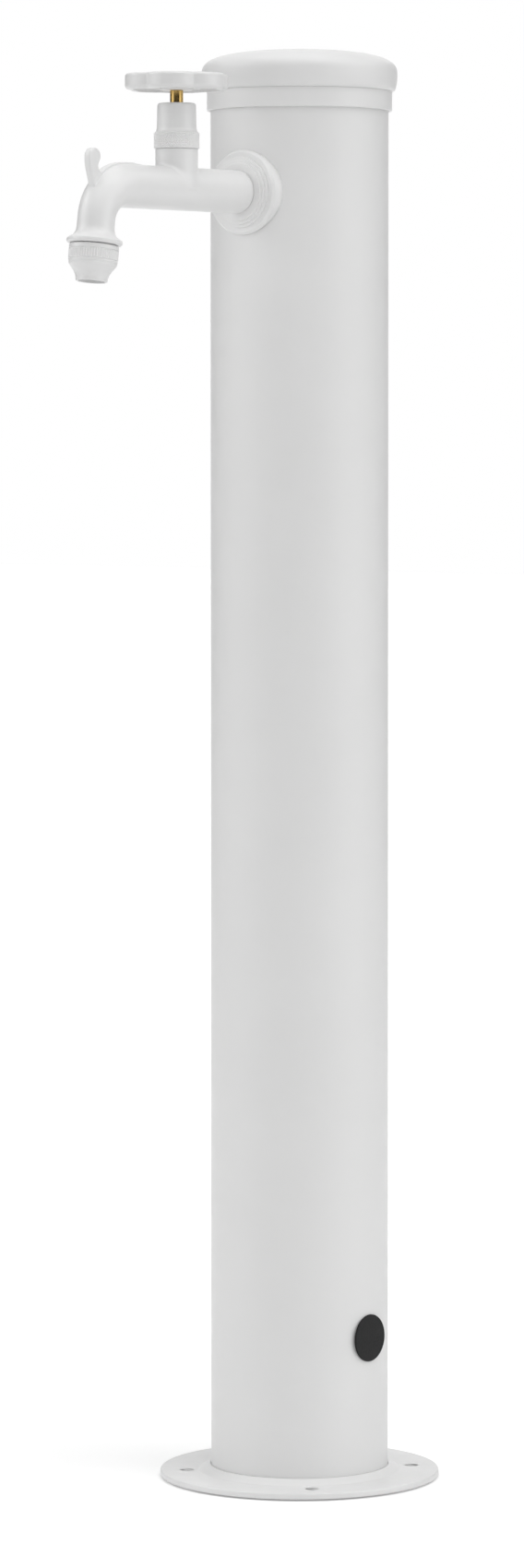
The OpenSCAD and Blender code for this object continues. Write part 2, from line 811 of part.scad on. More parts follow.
module bonnet_cover() {
    ring_r = ring_d / 2;
    top_r = cover_top_d / 2;
    shoulder_z = neck_top_z + ring_h;
    roof_r = top_r - cover_top_t;
    color("whitesmoke") on_stem() turned(concat(
        [
            [cover_in_r, neck_top_z],
            [ring_r, neck_top_z],
            [ring_r, shoulder_z],
            [ring_r - flange_edge / 2, shoulder_z],
            [cover_d / 2, shoulder_z + flare_h]
        ],
        arc([top_r - cover_edge, cover_top_z - cover_edge], cover_edge, 0, 90),
        [
            [spindle_d / 2 + slip_gap, cover_top_z],
            [spindle_d / 2 + slip_gap, cover_roof_z],
            [roof_r, cover_roof_z],
            [roof_r, shoulder_z + flare_h],
            [cover_in_r, shoulder_z]
        ]
    ));
}

// Outline of the wheel at one height, drawn in from its widest by an inset
function lobe_ring(inset, z) = [
    for (i = [0 : wheel_lobes * lobe_steps - 1])
        let (
            a = 360 * i / (wheel_lobes * lobe_steps),
            c = a - 360 / wheel_lobes * round(a * wheel_lobes / 360),
            r = lobe_offset * cos(c)
                + sqrt(pow(lobe_r - inset, 2) - pow(lobe_offset * sin(c), 2))
        )
        [r * cos(a), r * sin(a), z]
];

// Closed skin over a stack of rings that have the same number of points
module lofted(rings) {
    n = len(rings[0]);
    last = (len(rings) - 1) * n;
    polyhedron(
        [for (r = rings) for (p = r) p],
        concat(
            [[for (j = [0 : n - 1]) j]],
            [
                for (low = [0 : n : last - n])
                    for (j = [0 : n - 1])
                        let (k = (j + 1) % n)
                        [low + k, low + j, low + n + j, low + n + k]
            ],
            [[for (j = [n - 1 : -1 : 0]) last + j]]
        ),
        convexity = 4
    );
}

module handwheel() {
    edge_steps = curve_steps / 3;
    color("whitesmoke") on_stem() difference() {
        union() {
            rotate([0, 0, wheel_angle - 90]) difference() {
                lofted([
                    for (i = [0 : edge_steps])
                        let (a = 90 * i / edge_steps)
                        lobe_ring(wheel_edge * (1 - sin(a)), hub_z + wheel_edge * (1 - cos(a))),
                    for (i = [0 : edge_steps])
                        let (a = 90 * i / edge_steps)
                        lobe_ring(wheel_edge * (1 - cos(a)), wheel_top_z - wheel_edge * (1 - sin(a)))
                ]);
                lofted([
                    lobe_ring(wheel_wall, hub_z - cut),
                    lobe_ring(wheel_wall, hub_z + wheel_hollow)
                ]);
            }
            rod(hub_d / 2, hub_z, recess_z);
        }
        rod(screw_recess_d / 2, recess_z, wheel_top_z + cut);
        translate([0, 0, hub_z - cut]) rotate([0, 0, wheel_angle])
            linear_extrude(2 * wheel_h) square(square_w + 2 * thread_gap, center = true);
    }
}

module handwheel_washer() {
    color("silver") on_stem()
        ring(screw_washer_r, screw_r, recess_z, recess_z + screw_washer_t);
}

module handwheel_screw() {
    head_z = recess_z + screw_washer_t;
    color("silver") on_stem() {
        rod(screw_r - thread_gap, hub_z - wheel_h / 3, head_z + screw_head_h / 2);
        turned(round_disc(screw_head_r, head_z, head_z + screw_head_h,
            thread_gap, screw_head_h / 2));
    }
}

module outlet_nozzle() {
    nozzle_r = nozzle_d / 2;
    foot_r = nozzle_foot_d / 2;
    nose_r = nozzle_nose_d / 2;
    band_end = nozzle_s + nozzle_band_h;
    foot = band_end + nozzle_plain_h;
    nose = foot + nozzle_cone_h;
    // The cone is a quarter of an ellipse, hollow towards the outside
    cone = [
        for (i = [0 : curve_steps])
            let (a = 90 * i / curve_steps)
            [nose_r + (foot_r - nose_r) * (1 - sin(a)), nose - nozzle_cone_h * cos(a)]
    ];
    color("whitesmoke") down_outlet() turned(concat(
        [
            [tail_r + thread_gap, nozzle_s],
            [nozzle_r - flange_edge, nozzle_s],
            [nozzle_r, nozzle_s + flange_edge],
            [nozzle_r, band_end],
            [nozzle_r - flange_edge / 3, band_end]
        ],
        cone,
        [
            [nose_r, nose + nozzle_nose_len - flange_edge / 2],
            [nose_r - flange_edge / 2, nose + nozzle_nose_len],
            [nozzle_bore_d / 2, nose + nozzle_nose_len],
            [nozzle_bore_d / 2, outlet_end_s + gasket_t],
            [tail_r + thread_gap, outlet_end_s + gasket_t]
        ]
    ));
}

module nozzle_gasket() {
    color("dimgray") down_outlet()
        ring(tail_r - slip_gap, spout_bore_r, outlet_end_s, outlet_end_s + gasket_t);
}

base_flange();
column_tube();
cap_collar();
top_cap();
side_plug();
wall_rosette();
tap_body();
saddle_washer();
lock_nut();
elbow_fitting();
elbow_gasket();
riser_pipe();
riser_nuts();
inlet_fitting();
headwork();
headwork_gasket();
gland_packing();
gland_nut();
valve_jumper();
valve_washer();
washer_nut();
spindle();
bonnet_cover();
handwheel();
handwheel_washer();
handwheel_screw();
outlet_nozzle();
nozzle_gasket();
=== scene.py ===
"""Looks of the garden tap fountain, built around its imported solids.

Lengths are millimetres in the object's frame unless a name says otherwise: +Z is up, the tap
points to -Y, and the service plug is on the +X side. Meshes are scaled to metres when they are
made. The outline of a turned piece lists (radius, height), with a third number where a corner gets
a radius.
"""

import json
import math

import bmesh
import bpy
import numpy as np
from mathutils import Matrix, Vector


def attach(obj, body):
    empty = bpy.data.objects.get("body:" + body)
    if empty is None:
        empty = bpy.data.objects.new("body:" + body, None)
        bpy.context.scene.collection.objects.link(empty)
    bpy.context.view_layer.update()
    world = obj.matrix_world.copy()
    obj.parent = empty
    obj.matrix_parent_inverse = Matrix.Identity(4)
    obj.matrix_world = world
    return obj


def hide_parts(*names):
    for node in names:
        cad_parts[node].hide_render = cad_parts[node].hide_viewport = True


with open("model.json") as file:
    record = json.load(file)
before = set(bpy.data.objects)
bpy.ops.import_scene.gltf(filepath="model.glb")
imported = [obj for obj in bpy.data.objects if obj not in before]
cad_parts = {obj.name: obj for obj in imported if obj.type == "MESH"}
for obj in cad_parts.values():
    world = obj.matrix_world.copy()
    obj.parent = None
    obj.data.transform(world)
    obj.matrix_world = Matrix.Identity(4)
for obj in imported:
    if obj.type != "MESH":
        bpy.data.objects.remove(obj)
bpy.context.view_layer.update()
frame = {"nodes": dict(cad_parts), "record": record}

METRE = 0.001

# Column, flange, cap and plug
COLUMN_R = 62.5
COLUMN_IN_R = 60.5
COLUMN_FOOT = 4.0
COLUMN_TOP = 971.0
FLANGE_R = 98.5
FLANGE_HOLE_R = 40.0
FLANGE_T = 4.0
SHOULDER_FOOT_R = 71.0
BOLT_CIRCLE_R = 80.0
SIDE_HOLE_R = 13.4
PLUG_Z = 102.8
PLUG_HEAD_R = 16.5
PLUG_SHANK_R = 13.2
CAP_SEAT = 976.0
CAP_LIP_R = 65.8
CAP_R = 68.7
CAP_DOME_FOOT = 987.4

# Tap
TAP_Z = 903.5
STEM_D = 134.2
BARREL_START = 68.7
BARREL_R = 14.85
BEND_D = 191.5
BEND_Z = 876.5
BEND_R = 27.0
TILT = math.radians(7)
OUTLET_D = BEND_D + BEND_R * math.cos(TILT)
OUTLET_Z = BEND_Z + BEND_R * math.sin(TILT)
SPOUT_R = 12.8
TAIL_R = 13.2
NECK_R = 14.55
NECK_TOP = 930.7
COVER_TOP = 961.8
RIB_T = 5.6
RIB_R = 42.9
WATER_WAY_R = 10.0
PASSAGE_Z = 897.0
DUCT_Z = 910.5
NOZZLE_START = 17.1

# Handwheel and spindle
HUB_Z = 970.5
WHEEL_TOP = 981.5
WHEEL_TURN = math.radians(31 - 90)
LOBES = 6
LOBE_R = 19.2
LOBE_CENTRE_R = 17.2
HUB_R = 11.5
SQUARE_HALF = 3.05
THREAD_LEAD = 2.0


# --- Placements -----------------------------------------------------------------------------------


def along_tap():
    """Things drawn along +Z run outward along the tap"""
    return Matrix.Translation((0, 0, TAP_Z)) @ Matrix.Rotation(math.radians(90), 4, "X")


def down_outlet():
    """Things drawn along +Z run down the outlet from the end of the bend"""
    turn = Matrix.Rotation(math.pi - TILT, 4, "X")
    return Matrix.Translation((0, -OUTLET_D, OUTLET_Z)) @ turn


def on_stem(height=0.0):
    """Things drawn about +Z stand on the axis of the stem"""
    return Matrix.Translation((0, -STEM_D, height))


def along_plug():
    """Things drawn along +Z run out through the service hole, along +X"""
    return Matrix.Translation((0, 0, PLUG_Z)) @ Matrix.Rotation(math.radians(90), 4, "Y")


# --- Outlines -------------------------------------------------------------------------------------


def rounded(points, steps=4):
    """Outline whose corners (r, z, radius) become arcs"""
    out = []
    for i, (r, z, radius) in enumerate(points):
        corner = Vector((r, z))
        before = Vector(points[i - 1][:2]) - corner
        after = Vector(points[(i + 1) % len(points)][:2]) - corner
        if not radius:
            out.append((r, z))
            continue
        room = 0.48 * min(before.length, after.length)
        before.normalize()
        after.normalize()
        half = before.angle(after) / 2
        reach = min(radius / math.tan(half), room)
        radius = reach * math.tan(half)
        centre = corner + (before + after).normalized() * radius / math.sin(half)
        start = corner + before * reach - centre
        end = corner + after * reach - centre
        sweep = math.atan2(start.cross(end), start.dot(end))
        for k in range(steps + 1):
            a = sweep * k / steps
            out.append((
                centre.x + start.x * math.cos(a) - start.y * math.sin(a),
                centre.y + start.x * math.sin(a) + start.y * math.cos(a),
            ))
    return out


def arc(cx, cy, r, a0, a1, steps=12):
    """Points of an arc between two angles in degrees"""
    angles = [math.radians(a0 + (a1 - a0) * k / steps) for k in range(steps + 1)]
    return [(cx + r * math.cos(a), cy + r * math.sin(a)) for a in angles]


def through(points, steps=6):
    """Smooth curve through points"""
    ends = [points[0], *points, points[-1]]
    out = []
    for a, b, c, d in zip(ends, ends[1:], ends[2:], ends[3:]):
        for k in range(steps):
            t = k / steps
            out.append(tuple(
                q + t * (
                    (r - p) + t * ((2 * p - 5 * q + 4 * r - s) + t * (3 * q - p - 3 * r + s))
                ) / 2
                for p, q, r, s in zip(a, b, c, d)
            ))
    return out + [points[-1]]


def cap_dome(radius, height, low, steps=26):
    """Quarter outline of the cap's domed top, from its rim to the axis"""
    out = []
    for k in range(steps + 1):
        t = math.sin(math.pi / 2 * k / steps)
        out.append((radius * max(0.0, 1 - t ** 3) ** (1 / 2.6), low + height * t))
    return out


def cap_side(lip, radius, low, height, steps=12):
    """Outline of the cap's flank, which swells from its lip to its full radius"""
    out = []
    for k in range(steps + 1):
        a = math.pi / 2 * k / steps
        out.append((lip + (radius - lip) * math.sin(a), low + height * (1 - math.cos(a))))
    return out


def finely(outline, low, high, pitch):
    """Outline with its steps between two heights cut into pieces no longer than a pitch"""
    out = []
    for i, (r, z) in enumerate(outline):
        out.append((r, z))
        r2, z2 = outline[(i + 1) % len(outline)]
        if low - 1e-6 <= min(z, z2) and max(z, z2) <= high + 1e-6:
            n = int(math.hypot(r2 - r, z2 - z) / pitch)
            out += [
                (r + (r2 - r) * k / (n + 1), z + (z2 - z) * k / (n + 1)) for k in range(1, n + 1)
            ]
    return out


def braced(outline, closed=True, gap=0.35, shortest=2.0):
    """Outline with a point near each end of its long steps, so that they stay flat when smooth"""
    out = []
    for i, (r, z) in enumerate(outline):
        out.append((r, z))
        if i == len(outline) - 1 and not closed:
            break
        r2, z2 = outline[(i + 1) % len(outline)]
        length = math.hypot(r2 - r, z2 - z)
        if length > shortest:
            for share in (gap / length, 1 - gap / length):
                out.append((r + (r2 - r) * share, z + (z2 - z) * share))
    return out


# --- Meshes ---------------------------------------------------------------------------------------

CREASE = 32


def make_piece(name, verts, faces, place=Matrix.Identity(4), normals=None, crease=CREASE):
    """A mesh object from points in millimetres, smooth except at edges sharper than crease"""
    mesh = bpy.data.meshes.new(name)
    to_metres = Matrix.Scale(METRE, 4) @ place
    points = np.c_[np.asarray(verts, float), np.ones(len(verts))] @ np.array(to_metres).T
    mesh.from_pydata(points[:, :3].tolist(), [], [list(map(int, f)) for f in faces])
    mesh.validate()
    mesh.shade_smooth()
    if normals is None:
        mesh.set_sharp_from_angle(angle=math.radians(crease))
    else:
        turned = np.asarray(normals) @ np.array(place.to_3x3()).T
        mesh.normals_split_custom_set_from_vertices(turned.tolist())
    piece = bpy.data.objects.new(name, mesh)
    bpy.context.scene.collection.objects.link(piece)
    return piece


def lathe(outline, segments=128, closed=True, swell=None):
    """Points and faces of an outline of (radius, height) turned about +Z"""
    angle = np.arange(segments) * 2 * math.pi / segments
    verts, rings = [], []
    for r, z in outline:
        if r < 1e-6:
            rings.append([len(verts)] * segments)
            verts.append((0, 0, z))
            continue
        radius = r + (swell(angle, r, z) if swell else 0) + 0 * angle
        rings.append(list(range(len(verts), len(verts) + segments)))
        verts += list(zip(radius * np.cos(angle), radius * np.sin(angle), 0 * angle + z))
    faces = []
    pairs = zip(rings, rings[1:] + rings[:1]) if closed else zip(rings, rings[1:])
    for a, b in pairs:
        for j in range(segments):
            k = (j + 1) % segments
            face = [a[j], a[k], b[k], b[j]]
            face = [v for n, v in enumerate(face) if v not in face[:n]]
            if len(face) > 2:
                faces.append(face)
    return verts, faces


def turned_piece(name, outline, place=Matrix.Identity(4), segments=128, closed=True, swell=None,
                 crease=CREASE):
    """A piece turned about its own +Z; swell adds to the radius and may change round the turn"""
    verts, faces = lathe(braced(outline, closed), segments, closed, swell)
    return make_piece(name, verts, faces, place, crease=crease)


def rod(name, radius, low, high, place):
    """A plain round bar, to cut with"""
    outline = [(0, low), (radius, low), (radius, high), (0, high)]
    return turned_piece(name, outline, place, 64, False)


def block(name, low, high, place):
    """A box between two corners, to cut with"""
    corners = [
        (x, y, z) for x in (low[0], high[0]) for y in (low[1], high[1]) for z in (low[2], high[2])
    ]
    sides = [(0, 1, 3, 2), (4, 6, 7, 5), (0, 4, 5, 1), (2, 3, 7, 6), (0, 2, 6, 4), (1, 5, 7, 3)]
    return make_piece(name, corners, sides, place)


def cut_away(piece, cutters):
    """Takes the cutters out of the piece for good"""
    for cutter in cutters:
        modifier = piece.modifiers.new("cut", "BOOLEAN")
        modifier.operation = "DIFFERENCE"
        modifier.solver = "EXACT"
        modifier.object = cutter
    bpy.context.view_layer.update()
    graph = bpy.context.evaluated_depsgraph_get()
    mesh = bpy.data.meshes.new_from_object(piece.evaluated_get(graph))
    piece.modifiers.clear()
    piece.data = mesh
    mesh.shade_smooth()
    mesh.set_sharp_from_angle(angle=math.radians(CREASE))
    for cutter in cutters:
        bpy.data.objects.remove(cutter)


def pierced_plate(name, outline, segments, levels, holes, walls):
    """A turned plate with round holes through it

    levels are its two flat faces as (height, inner radius, outer radius), holes the places of the
    holes, and walls the outline of a hole from below to above.
    """
    hole_steps = 40
    verts, faces = lathe(outline, segments)
    bm = bmesh.new()
    points = [bm.verts.new(v) for v in verts]

    def in_flat(face):
        radii = [math.hypot(*verts[i][:2]) for i in face]
        return any(
            all(abs(verts[i][2] - z) < 1e-6 for i in face)
            and low - 0.1 < min(radii) and max(radii) < high + 0.1
            for z, low, high in levels
        )

    for face in faces:
        if not in_flat(face):
            bm.faces.new([points[i] for i in face])
    turn = np.arange(hole_steps) * math.pi / (hole_steps / 2)
    for x, y in holes:
        rings = [
            [bm.verts.new((x + r * math.cos(t), y + r * math.sin(t), z)) for t in turn]
            for r, z in walls
        ]
        for low, high in zip(rings, rings[1:]):
            for j in range(hole_steps):
                bm.faces.new((low[j], low[j - 1], high[j - 1], high[j]))
    for z, _, _ in levels:
        rim = [
            e for e in bm.edges
            if len(e.link_faces) == 1 and all(abs(v.co.z - z) < 1e-5 for v in e.verts)
        ]
        bmesh.ops.triangle_fill(bm, use_beauty=True, use_dissolve=False, edges=rim)
    bmesh.ops.recalc_face_normals(bm, faces=bm.faces)
    bm.verts.index_update()
    corners = [tuple(v.co) for v in bm.verts]
    piece = make_piece(name, corners, [[v.index for v in f.verts] for f in bm.faces])
    bm.free()
    # The flat faces keep their own shading
    mesh = piece.data
    for edge in mesh.edges:
        heights = [mesh.vertices[i].co.z / METRE for i in edge.vertices]
        if any(all(abs(h - z) < 1e-4 for h in heights) for z, _, _ in levels):
            edge.use_edge_sharp = True
    return piece


def saddle_back(piece, reach, radius):
    """Moves the points behind a plane onto the column's face, so that the piece sits on it"""
    mesh = piece.data
    for v in mesh.vertices:
        p = v.co / METRE
        if -p.y < reach:
            v.co.y = -math.sqrt(max(radius ** 2 - p.x ** 2, 0)) * METRE
    mesh.update()


# --- Solids described by the distance to their surface --------------------------------------------

# Distance written where a part of a field isn't worked out
FAR = 12.0


def gradient(field, points, reach=0.05):
    """Slope of a field at points"""
    return np.stack([
        (field(points + step) - field(points - step)) / (2 * reach) for step in np.eye(3) * reach
    ], -1)


def surface_net(field, low, high, step):
    """Quads over the places where a distance field is zero, with their outward normals"""
    axes = [np.arange(a - 1.5 * step, b + 2 * step, step) for a, b in zip(low, high)]
    grid = np.stack(np.meshgrid(*axes, indexing="ij"), -1)
    value = field(grid.reshape(-1, 3)).reshape(grid.shape[:3])
    inside = value < 0
    corners = [(i, j, k) for i in (0, 1) for j in (0, 1) for k in (0, 1)]
    size = inside.shape
    count = sum(
        inside[i:size[0] - 1 + i, j:size[1] - 1 + j, k:size[2] - 1 + k].astype(int)
        for i, j, k in corners
    )
    # Each cell that the surface crosses gets a point, at the mean of the crossings on its edges
    mixed = (count > 0) & (count < 8)
    cell = np.argwhere(mixed)
    index = np.full(mixed.shape, -1)
    index[mixed] = np.arange(len(cell))
    total = np.zeros((len(cell), 3))
    hits = np.zeros((len(cell), 1))
    for a in corners:
        for axis in range(3):
            if a[axis]:
                continue
            b = tuple(a[n] + (n == axis) for n in range(3))
            va, vb = value[tuple((cell + a).T)], value[tuple((cell + b).T)]
            crossed = ((va < 0) != (vb < 0))[:, None]
            share = (va / np.where(va == vb, 1, va - vb))[:, None]
            total += np.where(crossed, np.array(a) + share * (np.array(b) - np.array(a)), 0)
            hits += crossed
    verts = (cell + total / hits) * step + np.array([a[0] for a in axes])
    # Each grid edge that the surface crosses gets a quad between its four cells
    faces = []
    for axis in range(3):
        u, v = np.eye(3, dtype=int)[(axis + 1) % 3], np.eye(3, dtype=int)[(axis + 2) % 3]
        along = np.eye(3, dtype=int)[axis]
        a = inside[tuple(slice(0, size[n] - along[n]) for n in range(3))]
        b = inside[tuple(slice(along[n], size[n]) for n in range(3))]
        g = np.argwhere(a != b)
        quad = np.stack([index[tuple((g - s).T)] for s in (0 * u, u, u + v, v)], -1)
        flip = a[tuple(g.T)]
        faces.append(np.where(flip[:, None], quad[:, ::-1], quad))
    # The points settle on the surface along its slope
    for _ in range(3):
        slope = gradient(field, verts)
        square = np.maximum((slope ** 2).sum(-1), 0.25)
        move = np.clip(field(verts) / square, -step / 2, step / 2)
        verts = verts - slope * move[:, None]
    slope = gradient(field, verts)
    normals = slope / np.maximum(np.linalg.norm(slope, axis=-1, keepdims=True), 1e-9)
    faces = np.concatenate(faces)[:, ::-1]
    return verts, faces, normals


def blend_in(a, b, width):
    """Union of two fields with a fillet of about a width"""
    near = np.maximum(width - np.abs(a - b), 0) / width
    return np.minimum(a, b) - near * near * width / 4


def round_bar(radial, axial, radius, low, high, edge=0.0):
    """Distance to a round bar with softened edges"""
    across = radial - (radius - edge)
    beyond = np.maximum(low + edge - axial, axial - (high - edge))
    outside = np.hypot(np.maximum(across, 0), np.maximum(beyond, 0))
    return outside + np.minimum(np.maximum(across, beyond), 0) - edge


def to_outline(px, py, outline):
    """Signed distance in a plane to a closed outline"""
    best = np.full(px.shape, np.inf)
    sign = np.ones(px.shape)
    for i, (bx, by) in enumerate(outline):
        ax, ay = outline[i - 1]
        ex, ey = bx - ax, by - ay
        wx, wy = px - ax, py - ay
        t = np.clip((wx * ex + wy * ey) / (ex * ex + ey * ey), 0, 1)
        best = np.minimum(best, (wx - ex * t) ** 2 + (wy - ey * t) ** 2)
        if ey:
            crosses = ((ay <= py) != (by <= py)) & (px < ax + (py - ay) * ex / ey)
            sign = np.where(crosses, -sign, sign)
    return sign * np.sqrt(best)


def slab(flat, across, thickness, edge):
    """Distance to a plane outline given a thickness, with rounded edges"""
    beside = flat + edge
    over = np.abs(across) - (thickness / 2 - edge)
    outside = np.hypot(np.maximum(beside, 0), np.maximum(over, 0))
    return outside + np.minimum(np.maximum(beside, over), 0) - edge


def where_near(near, field, *coordinates):
    """Field of some coordinates, worked out only where it matters"""
    out = np.full(len(near), FAR)
    if near.any():
        out[near] = field(*[values[near] for values in coordinates])
    return out


# The drip skirt and the threaded spigot, as (radius, distance down the outlet)
SKIRT_OUTLINE = [(0, -1), (SPOUT_R, -1)] + through([
    (SPOUT_R, 3.0), (SPOUT_R + 0.15, 6.0), (13.6, 8.6), (14.9, 10.6), (16.6, 12.0), (17.9, 12.9),
    (18.75, 13.7), (18.95, 14.7), (18.6, 15.9), (17.6, 16.6), (16.4, 16.7),
]) + [(TAIL_R, 16.7), (TAIL_R, 26.7), (TAIL_R - 0.5, 27.2), (0, 27.2)]

# The hook lug and the rib over the bend, as (distance along the tap, height)
HOOK_OUTLINE = arc(BEND_D + 30.5, BEND_Z + 45.8, 5.8, 215, 5) + [
    (BEND_D + x, BEND_Z + z) for x, z in through([
        (36.3, 45.8), (36.3, 43.0), (35.7, 38.6), (34.3, 33.7), (32.95, 29.4), (31.6, 25.4),
    ], 3) + [(27.0, 23.8), (22.0, 30.0)] + through([
        (23.6, 34.8), (25.7, 36.5), (27.0, 38.8), (26.9, 40.8), (25.75, 42.47),
    ], 3)
]
RIB_OUTLINE = (
    [(BEND_D - 22, TAP_Z), (BEND_D - 22, TAP_Z + BARREL_R - 0.5), (BEND_D - 8.8, BEND_Z + RIB_R)]
    + arc(BEND_D, BEND_Z, RIB_R, 90, 45)
    + arc(BEND_D, BEND_Z, BEND_R, 45, 90)
)


def tap_field(points):
    """Distance to the cast tap body; points are (x, distance along the tap, height)"""
    x, d, z = points[:, 0], points[:, 1], points[:, 2]
    round_axis = np.hypot(x, z - TAP_Z)
    round_stem = np.hypot(x, d - STEM_D)
    round_bend = np.hypot(np.hypot(d - BEND_D, z - BEND_Z) - BEND_R, x)
    down = (d - OUTLET_D) * math.sin(TILT) - (z - OUTLET_Z) * math.cos(TILT)
    off_outlet = (d - OUTLET_D) * math.cos(TILT) + (z - OUTLET_Z) * math.sin(TILT)
    round_outlet = np.hypot(off_outlet, x)

    def in_bend(tube):
        return np.maximum(np.maximum(tube, BEND_D - 1 - d), down - 1)

    # Barrel, and the bend that narrows on its way down to the spout
    barrel = round_bar(round_axis, d, BARREL_R, BARREL_START, BEND_D + 1, 1.0)
    turn = np.arctan2(z - BEND_Z, d - BEND_D)
    way = np.clip((math.pi / 2 - turn) / (math.pi / 2 - TILT), 0, 1)
    radius = BARREL_R + (SPOUT_R - BARREL_R) * way * way * (3 - 2 * way)
    body = np.minimum(barrel, in_bend(round_bend - radius))

    # Drip skirt and spigot, in the space round the outlet, then the neck
    near = (d > 190) & (z < 884)
    skirt = where_near(
        near, lambda off, along: to_outline(off, along, SKIRT_OUTLINE), round_outlet, down
    )
    body = np.minimum(body, skirt)
    neck = round_bar(round_stem, z, NECK_R, TAP_Z, NECK_TOP, 0.4)
    body = blend_in(body, neck, 3.0)

    # Rib and hook, both flat and of one thickness, in the space over the bend
    def upright(outline, edge):
        near = (d > 160) & (z > 890) & (np.abs(x) < 6)
        return where_near(
            near, lambda a, b, c: slab(to_outline(b, c, outline), a, RIB_T, edge), x, d, z
        )

    rib_and_hook = blend_in(upright(RIB_OUTLINE, 0.5), upright(HOOK_OUTLINE, 1.3), 0.6)
    body = blend_in(body, rib_and_hook, 0.6)
    tail = round_bar(round_axis, d, TAIL_R, 37.3, BARREL_START + 1, 0.5)
    body = np.minimum(body, tail)

    # Water way, each part as (distance from its axis, place along it, radius, start, end)
    way_parts = {
        "tail": (round_axis, d, 9.0, 20, 121.1),
        "passage": (np.hypot(x, z - PASSAGE_Z), d, 5.5, 118, 139.7),
        "seat": (round_stem, z, 5.5, PASSAGE_Z, 908.0),
        "chamber": (round_stem, z, 9.6, 906.0, 945.0),
        "duct": (np.hypot(x, z - DUCT_Z), d, 4.5, STEM_D, 150.0),
        "barrel": (round_axis, d, WATER_WAY_R, 147.3, BEND_D + 1),
        "outlet": (round_outlet, down, WATER_WAY_R, -1, 40),
    }
    hollow = in_bend(round_bend - WATER_WAY_R)
    for part in way_parts.values():
        hollow = np.minimum(hollow, round_bar(*part))
    return np.maximum(body, -hollow)


def wheel_field(points):
    """Distance to the lobed handwheel, in its own frame with the hub's foot at height zero"""
    x, y, z = points[:, 0], points[:, 1], points[:, 2]
    r = np.hypot(x, y)
    height = WHEEL_TOP - HUB_Z
    lobes = [
        np.hypot(x - LOBE_CENTRE_R * math.cos(a), y - LOBE_CENTRE_R * math.sin(a)) - LOBE_R
        for a in (math.radians(360 / LOBES * k) for k in range(LOBES))
    ]
    plan = lobes[0]
    for lobe in lobes[1:]:
        plan = blend_in(plan, lobe, 0.6)
    # Two slabs, each past the wheel on one side, give the top and the foot their own edges
    body = np.maximum(
        slab(plan, z - height / 2 + 2.0, height + 4.0, 2.0),
        slab(plan, z - height / 2 - 2.0, height + 4.0, 3.0),
    )
    # The underside is hollow round the hub
    dish = slab(plan + 5.4, z, 4.4, 1.2)
    dish = -blend_in(-dish, -(HUB_R - r), 1.5)
    body = -blend_in(-body, dish, 0.8)
    screw_well = round_bar(r, z, 6.5, height - 4.0, height + 8)
    body = -blend_in(-body, screw_well, 0.7)
    square = np.maximum(np.abs(y), np.abs(x)) - SQUARE_HALF
    return np.maximum(body, -square)


# --- Materials ------------------------------------------------------------------------------------


# Noise stays mostly between these, so they stretch it over a whole range
NOISE_LOW, NOISE_HIGH = 0.3, 0.7


def node_material(name, color, roughness, metallic=0.0, grain=900.0, grain_depth=0.00003, bump=0.3,
                  mottle=0.03, mottle_scale=14.0, rough_swing=0.08, stretch=(1, 1, 1), waves=None,
                  specular=None):
    """Principled surface with colour mottle, uneven roughness and a fine bump

    grain and waves are bumps of their own scale, with their depths in metres.
    """
    material = bpy.data.materials.new(name)
    material.use_nodes = True
    nodes, links = material.node_tree.nodes, material.node_tree.links
    shader = nodes["Principled BSDF"]
    shader.inputs["Metallic"].default_value = metallic
    if specular is not None:
        shader.inputs["Specular IOR Level"].default_value = specular
    place = nodes.new("ShaderNodeTexCoord")
    mapping = nodes.new("ShaderNodeMapping")
    mapping.inputs["Scale"].default_value = stretch
    links.new(place.outputs["Object"], mapping.inputs["Vector"])

    def noise(scale, detail, rough):
        texture = nodes.new("ShaderNodeTexNoise")
        texture.inputs["Scale"].default_value = scale
        texture.inputs["Detail"].default_value = detail
        texture.inputs["Roughness"].default_value = rough
        links.new(mapping.outputs["Vector"], texture.inputs["Vector"])
        return texture

    def relief(height, depth):
        node = nodes.new("ShaderNodeBump")
        node.inputs["Strength"].default_value = bump
        node.inputs["Distance"].default_value = depth
        links.new(height.outputs["Fac"], node.inputs["Height"])
        return node

    cloud = noise(mottle_scale, 5, 0.6)
    ramp = nodes.new("ShaderNodeValToRGB")
    ramp.color_ramp.elements[0].position = NOISE_LOW
    ramp.color_ramp.elements[1].position = NOISE_HIGH
    ramp.color_ramp.elements[0].color = (*[c * (1 - mottle) for c in color], 1)
    ramp.color_ramp.elements[1].color = (*[min(1, c * (1 + mottle)) for c in color], 1)
    links.new(cloud.outputs["Fac"], ramp.inputs["Fac"])
    links.new(ramp.outputs["Color"], shader.inputs["Base Color"])

    fine = noise(grain, 3, 0.5)
    swing = nodes.new("ShaderNodeMapRange")
    swing.inputs["From Min"].default_value = NOISE_LOW
    swing.inputs["From Max"].default_value = NOISE_HIGH
    swing.inputs["To Min"].default_value = max(0.02, roughness - rough_swing)
    swing.inputs["To Max"].default_value = min(1.0, roughness + rough_swing)
    medium = noise(mottle_scale * 6, 3, 0.5)
    links.new(medium.outputs["Fac"], swing.inputs["Value"])
    links.new(swing.outputs["Result"], shader.inputs["Roughness"])

    surface = relief(fine, grain_depth)
    if waves:
        swell = relief(noise(waves[0], 2, 0.4), waves[1])
        links.new(surface.outputs["Normal"], swell.inputs["Normal"])
        surface = swell
    links.new(surface.outputs["Normal"], shader.inputs["Normal"])
    return material


